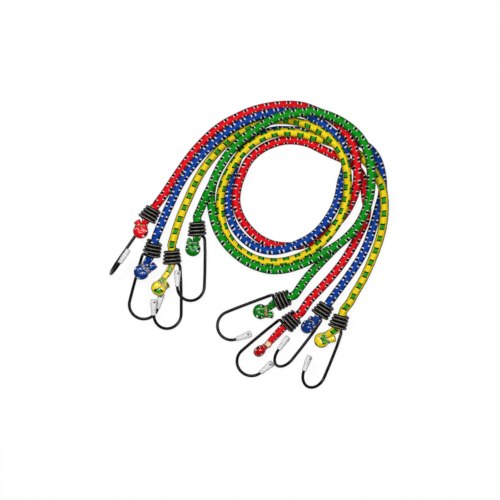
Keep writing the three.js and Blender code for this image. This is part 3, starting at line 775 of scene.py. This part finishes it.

# %% [markdown]
# ## Hook coating
#
# The hooks are steel wire dipped in black plastic. Along the outer crest of the coil's turns a thin grey
# line is painted in patches: a painted highlight. The tube's own map finds the crest, so the line stays on
# the wire from every side.

# %% Hook coating
COAT_BLACKS = ((0.003, 0.003, 0.003, 1), (0.006, 0.006, 0.006, 1))
PAINTED_HIGHLIGHT_GREY = (0.27, 0.25, 0.22, 1)
CREST_TURN = 0.25
CREST_SPAN = (0.01, 0.05)
COIL_RUN_MM = 164.0
COIL_FADE_MM = 8
LEAST_CREST_HIGHLIGHT = 0.55


def hook_coat_material():
    """Black dipped coating, with a painted grey highlight in patches on the outer crest of the coil's
    turns.
    """
    material, tree, shader = new_material("black hook coating")
    _, turn, run = surface_map(tree)
    handled = place_group(tree, HANDLING, patch=120.0, least=0.2, most=0.26)
    black = mixed(tree, handled.outputs["Shade"], *COAT_BLACKS)
    # Painted highlight: a thin grey line along the outer crest of each turn of the coil.
    off_crest = compute(tree, "ABSOLUTE", compute(tree, "SUBTRACT", turn, CREST_TURN))
    crest = remapped(tree, off_crest, *CREST_SPAN, 1.0, 0.0)
    on_coil = remapped(tree, run, COIL_RUN_MM - COIL_FADE_MM, COIL_RUN_MM, 1.0, 0.0)
    patchy = remapped(tree, handled.outputs["Shade"], 0.0, 1.0, 1.0, LEAST_CREST_HIGHLIGHT)
    crest_highlight = compute(tree, "MULTIPLY", compute(tree, "MULTIPLY", crest, on_coil), patchy)
    feed(tree, shader.inputs["Base Color"], mixed(tree, crest_highlight, black, PAINTED_HIGHLIGHT_GREY))
    feed(tree, shader.inputs["Roughness"], handled.outputs["Roughness"])
    shader.inputs["Specular IOR Level"].default_value = 0.15
    return material


HOOK_COAT = hook_coat_material()
print("finish:", HOOK_COAT.name)

# %% [markdown]
# ## Milky caps
#
# The caps are soft milky plastic, greyer towards the closed end. On each flat face, near that end, is a
# shallow dimple such as a mould's pin leaves. It is too shallow to model, so a grey spot of painted shade
# shows it: a round spot on the cap's own map, where the way across and the way up give the distance from
# its middle.

# %% Milky caps
MILK_TONES = ((0.76, 0.76, 0.77, 1), (0.62, 0.62, 0.64, 1))
CLOSED_END_GREY = (0.40, 0.40, 0.41, 1)
DIMPLE_SHADE_GREY = (0.16, 0.15, 0.15, 1)
CLOSED_END_MM = 1.6
CLOSED_END_SHARE = 0.45
HALF_ROUND_MM = 8.5
DIMPLE_RISE_MM = 2.6
DIMPLE_SPAN = (0.5, 1.6)


def cap_material():
    """Milky plastic, greyer at the closed end, with painted shade for a dimple on each flat face."""
    material, tree, shader = new_material("milky cap")
    _, turn, rise = surface_map(tree)
    # Painted shade: a round grey spot on each flat face stands for a shallow dimple.
    half_turns = compute(tree, "ADD", compute(tree, "MULTIPLY", turn, 2.0), 0.5)
    off_middle = compute(tree, "SUBTRACT", compute(tree, "FRACT", half_turns), 0.5)
    sideways = compute(tree, "POWER", compute(tree, "MULTIPLY", off_middle, HALF_ROUND_MM), 2.0)
    lengthways = compute(tree, "POWER", compute(tree, "SUBTRACT", rise, DIMPLE_RISE_MM), 2.0)
    dimple = remapped(tree, compute(tree, "ADD", sideways, lengthways), *DIMPLE_SPAN, 1.0, 0.0)
    handled = place_group(tree, HANDLING, patch=150.0, least=0.4, most=0.5)
    milk = mixed(tree, handled.outputs["Shade"], *MILK_TONES)
    # The colour greys towards the closed end.
    toward_closed_end = remapped(tree, rise, 0.0, CLOSED_END_MM, CLOSED_END_SHARE, 0.0)
    milk = mixed(tree, toward_closed_end, milk, CLOSED_END_GREY)
    feed(tree, shader.inputs["Base Color"], mixed(tree, dimple, milk, DIMPLE_SHADE_GREY))
    feed(tree, shader.inputs["Roughness"], handled.outputs["Roughness"])
    shader.inputs["Specular IOR Level"].default_value = 0.2
    return material


CAP_PLASTIC = cap_material()
print("finish:", CAP_PLASTIC.name)

# %% [markdown]
# ## Rubber and tie wire
#
# The core is cream rubber, rough where it was cut. The folds are tied with soft wire, most of it steel
# and two of brass. Each is one plain colour that goes over to a duller one in patches, so one function
# makes all three.

# %% Rubber and tie wire
CREAM_TONES = ((0.80, 0.68, 0.44, 1), (0.62, 0.46, 0.25, 1))
STEEL_TONES = ((0.52, 0.52, 0.50, 1), (0.34, 0.34, 0.32, 1))
BRASS_TONES = ((0.62, 0.44, 0.20, 1), (0.42, 0.28, 0.11, 1))
CUT_RELIEF_MM = 0.12
CUT_STRENGTH = 0.5


def patchy_material(name, tones, patch, least, most, metallic=0.0, bump_mm=0.0):
    """A finish of two close tones, whose gloss changes with the same patches."""
    material, tree, shader = new_material(name)
    handled = place_group(tree, HANDLING, patch=patch, least=least, most=most)
    feed(tree, shader.inputs["Base Color"], mixed(tree, handled.outputs["Shade"], *tones))
    feed(tree, shader.inputs["Roughness"], handled.outputs["Roughness"])
    shader.inputs["Metallic"].default_value = metallic
    if bump_mm:
        add_bump(tree, shader, handled.outputs["Shade"], CUT_STRENGTH, bump_mm * MM)
    return material


CORE_RUBBER = patchy_material(
    "cream core rubber", CREAM_TONES, patch=900.0, least=0.55, most=0.75, bump_mm=CUT_RELIEF_MM
)
TIE_WIRES = {
    metal: patchy_material(f"{metal} tie wire", tones, patch=500.0, least=0.4, most=0.55, metallic=1.0)
    for metal, tones in (("steel", STEEL_TONES), ("brass", BRASS_TONES))
}
print("finishes:", CORE_RUBBER.name, *(wire.name for wire in TIE_WIRES.values()), sep=", ")

# %% [markdown]
# ## Hook frames
#
# Each hook is built in its own frame: along the cord, towards its shank, and square to both. The same
# small set of sizes then makes all eight hooks, whichever way they lie.

# %% Hook frames
WIRE_R = 1.38 * MM
COIL_TURNS = 4
COIL_PITCH = 3.2 * MM
COIL_MOUTH_R = 5.75 * MM
COIL_BACK_R = 7.5 * MM
COIL_HALF = COIL_TURNS * COIL_PITCH / 2
COIL_END = COIL_HALF + WIRE_R
LEAD = 3.5 * MM


class HookFrame:
    """A hook's own axes: the coil's middle, along the cord, the shank's side and the third direction."""

    def __init__(self, end):
        level = Vector((end["heading"][0], -end["heading"][1], 0)).normalized()
        left = Vector((-level.y, level.x, 0))
        dip = radians(end["dip"])
        roll = radians(end["roll"])
        up = level * sin(dip) + Vector((0, 0, cos(dip)))
        self.middle = on_sheet(*end["coil"])
        self.axis = level * cos(dip) - Vector((0, 0, sin(dip)))
        self.shank = left * (end["shank"] * cos(roll)) - up * sin(roll)
        self.third = self.axis.cross(self.shank)

    def at(self, u, v, w):
        """The point so far along, to the shank's side and in the third direction."""
        return self.middle + self.axis * u + self.shank * v + self.third * w


HOOKS = {name: HookFrame(end) for name, end in ENDS.items()}
print("hook frames:", len(HOOKS))

# %% [markdown]
# ## Cords
#
# A cord lies from the mouth of its left coil to the mouth of its right one. The last run before the right
# hook can stretch, so it is a piece of its own.
# The weave runs on over the joint, because the second piece starts its map where the first one stops.
# Where a cord lies on the table its underside is pressed flat. A curve with a round bevel would be
# quicker to draw, but rings of points can be pressed, and they carry a map in real millimetres.

# %% Cord helpers
CORD_R = 4.0 * MM
SLEEVE_R = 3.95 * MM
CORD_SIDES = 28
CORD_STEP = 1.6 * MM
FRAME_CORD_SIDES = 8
REST_Z = CORD_R * cos(pi / FRAME_CORD_SIDES)
PRESSED_Z = 0.05 * MM
LAST_RUN = 95 * MM


def cord_line(colour):
    """The cord's middle line from coil mouth to coil mouth, and its neighbours inside the coils."""
    left, right = HOOKS[f"{colour}_left"], HOOKS[f"{colour}_right"]
    mouth = -COIL_END - LEAD
    route = [on_sheet(*point) for point in ROUTES[colour]]
    entry = [left.at(-COIL_END, 0, 0), left.at(mouth, 0, 0)]
    stops = [*entry, *route, right.at(mouth, 0, 0), right.at(-COIL_END, 0, 0)]
    samples = 10
    curve = smooth(stops, samples)
    line = curve[samples:-samples]
    for point in line:
        point.z = max(point.z, REST_Z)
    return even_steps(line, CORD_STEP), curve[samples - 1], curve[-samples]


def cord_piece(name, colour, frames, start_mm):
    """One stretch of sleeve, with its map running on from a given length."""
    rings = [ring_at(spot, SLEEVE_R, CORD_SIDES) for spot in frames]
    for ring in rings:
        for point in ring:
            point.z = max(point.z, PRESSED_Z)
    reach = running_mm([spot[0] for spot in frames], start_mm)
    piece = skin(name, rings, [SLEEVES[colour]], reach)
    return piece, reach[-1]


print(f"a cord {2 * CORD_R / MM:.0f} mm thick lies with its middle {REST_Z / MM:.2f} mm up")

# %% Lay the cords
cords = {}
for colour in ROUTES:
    line, before, after = cord_line(colour)
    frames = level_frames(line, before, after)
    steps = (line[1] - line[0]).length
    split = len(line) - 1 - round(LAST_RUN / steps)
    main, main_end = cord_piece(f"{colour}_cord_coil", colour, frames[: split + 1], 0.0)
    last, cord_end = cord_piece(f"{colour}_cord_last_run", colour, frames[split:], main_end)
    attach(main, "cords")
    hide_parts(f"{colour}_sleeve", f"{colour}_core")
    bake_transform(last)
    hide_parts(f"{colour}_sleeve")
    cords[colour] = {"main": main, "last": last, "line": line, "split": split, "length": cord_end}
    print(f"{colour} cord: {main_end:.0f} mm coiled and {cord_end - main_end:.0f} mm that can stretch")

# %% [markdown]
# ## Folded ends
#
# Past the coil the cord is folded back on itself, and a turn or two of wire ties the fold. The pressed
# fold swells into a bulb, round from above and flatter from the side, because a strand that lies down is
# pressed by its own tie. A fold that stands on edge stays round. One strand is slimmer past its coil, to
# leave room for the cap of the hook next to it. Up to the coil the strand has the cord's own loose braid,
# and past it the tight one. The cut end shows the rubber inside the sleeve. The whole strand is one tube
# whose radius changes, so its braid runs through.

# %% Folded strand line
MOUTH_R = 3.7 * MM
GRIP_R = 3.55 * MM
NECK_R = 3.75 * MM
SLIM_NECK_R = 3.1 * MM
NECK_INSET = 1 * MM
TIED_R = 2.75 * MM
TIED_HALF = 2.8 * MM
TIE_BACK = 5.2 * MM
TIE_CLEAR = 1.2 * MM
FOLD_R = 2.2 * MM
BULB_R = 4.8 * MM
BULB_FLAT = 0.72
BULB_ON_EDGE = 0.97
CUT_OUT = 2.9 * MM
CUT_TRIM = 1.4 * MM
CUT_R = 3.25 * MM


class FoldFrame:
    """A folded end's own axes: its middle, its heading, the returning side and the third direction."""

    def __init__(self, end):
        self.middle = on_sheet(*end["fold"])
        self.heading = Vector((end["fold_heading"][0], -end["fold_heading"][1], 0)).normalized()
        left = Vector((-self.heading.y, self.heading.x, 0))
        lean = radians(end["lean"])
        self.back = left * (end["side"] * cos(lean)) + Vector((0, 0, sin(lean)))
        self.third = self.heading.cross(self.back)

    def at(self, along, across):
        """The point so far along the fold and to the returning strand's side."""
        return self.middle + self.heading * along + self.back * across


def folded_stops(hook, fold, end, neck):
    """The strand's line through the coil, around the fold and back: point, radius, and flatness."""
    diagonal = FOLD_R * 0.5 ** 0.5
    tail = end["tail"] * MM - CUT_TRIM
    flare = end["flare"] * MM
    flat = BULB_FLAT if end["lean"] == 0 else BULB_ON_EDGE
    return [
        (hook.at(-COIL_END - LEAD, 0, 0), SLEEVE_R, 1.0),
        (hook.at(-COIL_END, 0, 0), MOUTH_R, 1.0),
        (hook.middle, GRIP_R, 1.0),
        (hook.at(COIL_END - NECK_INSET, 0, 0), neck, 1.0),
        (fold.at(-TIE_BACK - TIE_CLEAR, -TIED_HALF), TIED_R, 1.0),
        (fold.at(-TIE_BACK + TIE_CLEAR, -TIED_HALF), TIED_R, 1.0),
        (fold.at(0, -FOLD_R), BULB_R, flat),
        (fold.at(diagonal, -diagonal), BULB_R, flat),
        (fold.at(FOLD_R, 0), BULB_R, flat),
        (fold.at(diagonal, diagonal), BULB_R, flat),
        (fold.at(0, FOLD_R), BULB_R, flat),
        (fold.at(-TIE_BACK + TIE_CLEAR, TIED_HALF), TIED_R, 1.0),
        (fold.at(-TIE_BACK - TIE_CLEAR, TIED_HALF), TIED_R, 1.0),
        (fold.at(-tail, CUT_OUT + flare), CUT_R, 1.0),
    ]


print(f"folds are tied {TIE_BACK / MM:.1f} mm behind their middle")

# %% Folded end pieces
RUBBER_R = 2.75 * MM
KNOT_SIDES = 28
LOOSE_SPANS = 2
CUT_LIP = ((CUT_R * 0.93, 0.25), (RUBBER_R, 0.2), (RUBBER_R, -1.6))
CUT_LIP_STEP_MM = 0.4
RUBBER_SIDES = 20
RUBBER_PROFILE = ((-1.5, 0.96), (0.15, 0.96), (0.4, 0.88), (0.62, 0.66), (0.74, 0.34))


def flattened(ring, middle, third, share):
    """A ring pressed flat along one direction."""
    return [p - third * ((p - middle).dot(third) * (1 - share)) for p in ring]


def folded_strand(name, colour, hook, fold, end, neck, before, start_mm):
    """The strand's mesh, going on from a point of the cord before the coil, and the frame at its cut."""
    stops = folded_stops(hook, fold, end, neck)
    samples = 8
    curve = smooth([before] + [stop[0] for stop in stops], samples)
    line = curve[samples:]
    frames = carried_frames(line, Vector((0, 0, 1)), curve[samples - 1])
    rings = []
    for i, spot in enumerate(frames):
        k = min(i // samples, len(stops) - 2)
        t = i / samples - k
        swells = stops[k + 1][1] > stops[k][1]
        ease = 1 - (1 - t) ** 2 if swells else t * t
        radius = stops[k][1] + (stops[k + 1][1] - stops[k][1]) * ease
        share = stops[k][2] + (stops[k + 1][2] - stops[k][2]) * ease
        rings.append(flattened(ring_at(spot, radius, KNOT_SIDES), spot[0], fold.third, share))
    reach = running_mm(line, start_mm)
    for radius, onward_mm in CUT_LIP:
        rings.append(ring_at(moved(frames[-1], onward_mm), radius, KNOT_SIDES))
        reach.append(reach[-1] + CUT_LIP_STEP_MM)
    strand = skin(name, rings, [SLEEVES[colour], TIGHT_SLEEVES[colour]], reach)
    loose_faces = LOOSE_SPANS * samples * KNOT_SIDES
    for face in strand.data.polygons:
        face.material_index = 0 if face.index < loose_faces else 1
    return strand, frames[-1]


def rubber_end(name, cut):
    """The rubber in the cut sleeve, swollen a little past the cut."""
    rings = []
    for onward_mm, share in RUBBER_PROFILE:
        rings.append(ring_at(moved(cut, onward_mm), RUBBER_R * share, RUBBER_SIDES))
    return skin(name, rings, [CORE_RUBBER])


print("folded-end helpers ready")

# %% [markdown]
# ## Tie wires
#
# The fold is tied with soft wire, one or two turns that run around both strands. A turn is two half
# circles with short straights between them. The turns climb along the fold like a screw, and the wire
# bites into the sleeve. A torus would be simpler, but a tie is not a round ring.

# %% Tie wire piece
TIE_R = 0.42 * MM
TIE_REACH = 2.95 * MM
TIE_PITCH = 1.15 * MM
TIE_SIDES = 8


def tie_wire(name, fold, turns, metal):
    """One or two turns of wire around both strands."""
    half_steps = 12
    line = []
    total = turns * 2 * (half_steps + 1)
    for k in range(total + half_steps // 2):
        half_turn, step = divmod(k, half_steps + 1)
        end = 1 if half_turn % 2 == 0 else -1
        a = pi * step / half_steps
        climb = (k / total - 0.5) * turns * TIE_PITCH
        across = end * (TIED_HALF + TIE_REACH * sin(a))
        line.append(fold.at(-TIE_BACK + climb, across) + fold.third * (end * TIE_REACH * cos(a)))
    frames = carried_frames(line, fold.heading)
    return skin(name, [ring_at(spot, TIE_R, TIE_SIDES) for spot in frames], [TIE_WIRES[metal]])


print("tie helper ready")

# %% [markdown]
# ## Hooks
#
# A hook is one length of steel wire with a black coating: four turns that widen towards the hook, a short
# bend into the straight shank, the big bend, and the leg that carries the cap. The coating is drawn a
# little thicker on the coil, where a dip gathers between the turns. One line through all of it makes one
# tube, as the real wire is one piece.

# %% Hook wire line
COIL_WIRE_R = 1.56 * MM
SHANK_REACH = 64.4 * MM
BEND_R = 13 * MM
LEAD_OFF = 4.2 * MM
LEG_V = COIL_BACK_R - 2 * BEND_R
CAP_TOP = 37 * MM
TIP_INSET = 2 * MM
LEAD_STOPS = ((1.3 * MM, 0.3 * MM, 0.36), (3.8 * MM, 0.0, 0.04))
TURN_STEPS = 14
COIL_STEPS = COIL_TURNS * TURN_STEPS


def hook_stops(hook):
    """Points along the coil, the bend into the shank, the big bend and the leg."""
    stop = -asin(LEAD_OFF / COIL_BACK_R)
    stops = []
    for i in range(COIL_STEPS + 1):
        t = i / COIL_STEPS
        angle = stop - 2 * pi * COIL_TURNS * (1 - t)
        r = COIL_MOUTH_R + (COIL_BACK_R - COIL_MOUTH_R) * t
        stops.append(hook.at(-COIL_HALF + 2 * COIL_HALF * t, r * cos(angle), r * sin(angle)))
    for onward, sag, share in LEAD_STOPS:
        stops.append(hook.at(COIL_HALF + onward, COIL_BACK_R - sag, -LEAD_OFF * share))
    bend_steps = 12
    for i in range(bend_steps + 1):
        a = pi * i / bend_steps
        stops.append(hook.at(
            SHANK_REACH - BEND_R + BEND_R * sin(a), COIL_BACK_R - BEND_R + BEND_R * cos(a), 0
        ))
    stops.append(hook.at(CAP_TOP + TIP_INSET, LEG_V, 0))
    return stops


print("hook stops:", len(hook_stops(HOOKS["red_left"])))

# %% Hook piece
WIRE_SIDES = 14
THIN_FROM = 0.8
THIN_SPAN = 0.3
BLUNT_END = ((-0.45, 0.62), (-0.3, 0.88))


def hook_wire(name, hook):
    """The wire's mesh, with a blunt cut end and a thicker coating on the coil."""
    samples = 3
    on_coil = COIL_STEPS * samples
    frames = carried_frames(smooth(hook_stops(hook), samples), -hook.axis, held=on_coil)
    rings = []
    for onward_mm, share in BLUNT_END:
        rings.append(ring_at(moved(frames[0], onward_mm), COIL_WIRE_R * share, WIRE_SIDES))
    for i, spot in enumerate(frames):
        thinned = min(1, max(0, i / on_coil - THIN_FROM) / THIN_SPAN)
        rings.append(ring_at(spot, COIL_WIRE_R + (WIRE_R - COIL_WIRE_R) * thinned, WIRE_SIDES))
    return skin(name, rings, [HOOK_COAT])


print("hook helper ready")

# %% [markdown]
# ## Caps
#
# A soft milky cap covers each tip. It is round at its mouth, where the wire goes in, and widens to a
# flattened end with rounded corners. The mouth is open, with a rim and a short bore, so that the wire is
# seen to go in. Rings of changing width and flatness give the whole form in one skin, where a scaled
# primitive would have no mouth.

# %% Cap piece
CAP_LENGTH = 14.4 * MM
CAP_MOUTH_R = 2.1 * MM
CAP_END_R = 3.1 * MM
CAP_FLAT = 0.78
CAP_BORE_R = WIRE_R + 0.2 * MM
CAP_BORE_DEPTH = 3 * MM
CAP_RIM = 0.2 * MM
CAP_CORNER = 1.5 * MM
CAP_SIDES = 28


def cap_piece(name, hook):
    """The cap's mesh: a bore, a rim, a body that widens and a rounded end."""

    def ring(rise, radius, flat):
        spot = (hook.at(CAP_TOP + rise, LEG_V, 0), -hook.axis, hook.shank, hook.third)
        return ring_at(spot, radius, CAP_SIDES, flat)

    profile = [
        (CAP_LENGTH - CAP_BORE_DEPTH, CAP_BORE_R, 1.0), (CAP_LENGTH - CAP_RIM, CAP_BORE_R, 1.0),
        (CAP_LENGTH, CAP_BORE_R + CAP_RIM, 1.0), (CAP_LENGTH, CAP_MOUTH_R - CAP_RIM, 1.0),
    ]
    body_steps = 12
    for i in range(body_steps + 1):
        t = i / body_steps
        swell = t * t * (3 - 2 * t)
        rise = (CAP_LENGTH - CAP_RIM) * (1 - t) + CAP_CORNER * t
        profile.append((rise, CAP_MOUTH_R + (CAP_END_R - CAP_MOUTH_R) * swell, 1 + (CAP_FLAT - 1) * swell))
    round_steps = 6
    for i in range(1, round_steps + 1):
        a = pi / 2 * i / round_steps
        profile.append((CAP_CORNER * (1 - sin(a)), CAP_END_R - CAP_CORNER * (1 - cos(a)), CAP_FLAT))
    reach = [rise / MM for rise, _, _ in profile]
    return skin(name, [ring(*step) for step in profile], [CAP_PLASTIC], reach)


print("cap helper ready")

# %% [markdown]
# ## All eight ends
#
# Each end gets its five pieces. On the left, the folded end stays with the coil of cords; on the right it
# rides on the end that can be pulled out. Hook and cap turn together about the cord, so they ride on a
# body of their own.

# %% Dress the ends
BRASS_TIED = ("red_left", "green_right")
SLIM_NECKED = ("yellow_left",)

for name, end in ENDS.items():
    colour, side = name.split("_")
    hook = HOOKS[name]
    fold = FoldFrame(end)
    start_mm = cords[colour]["length"] if side == "right" else 0.0
    before = on_sheet(*ROUTES[colour][0 if side == "left" else -1])
    metal = "brass" if name in BRASS_TIED else "steel"
    neck = SLIM_NECK_R if name in SLIM_NECKED else NECK_R
    strand, cut = folded_strand(f"{name}_folded_end", colour, hook, fold, end, neck, before, start_mm)
    pieces = {
        "knot": (strand, f"{colour}_braid"),
        "core_end": (rubber_end(f"{name}_rubber_end", cut), "core_rubber"),
        "ring": (tie_wire(f"{name}_tie_wire", fold, end["turns"], metal), "ring_wire"),
        "hook": (hook_wire(f"{name}_wire_hook", hook), "hook_coat"),
        "tip": (cap_piece(f"{name}_cap", hook), "tip_cap"),
    }
    end_body = "cords" if side == "left" else f"{name}_end"
    for node, (piece, slot) in pieces.items():
        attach(piece, f"{name}_hook_body" if node in ("hook", "tip") else end_body)
        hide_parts(f"{name}_{node}")
    cords[colour][side] = [piece for piece, _ in pieces.values()]
    print(f"{name}: {len(pieces)} pieces")

# %% [markdown]
# ## Real lengths
#
# A cord is a fixed length of something flexible, so each one's length from hook to hook is printed. The
# coil leaves the left hook, and the last run goes on from it to the right hook.

for colour, cord in cords.items():
    line, split = cord["line"], cord["split"]
    steps = (line[1] - line[0]).length
    print(f"{colour}: {(len(line) - 1) * steps / MM:.0f} mm from hook to hook")
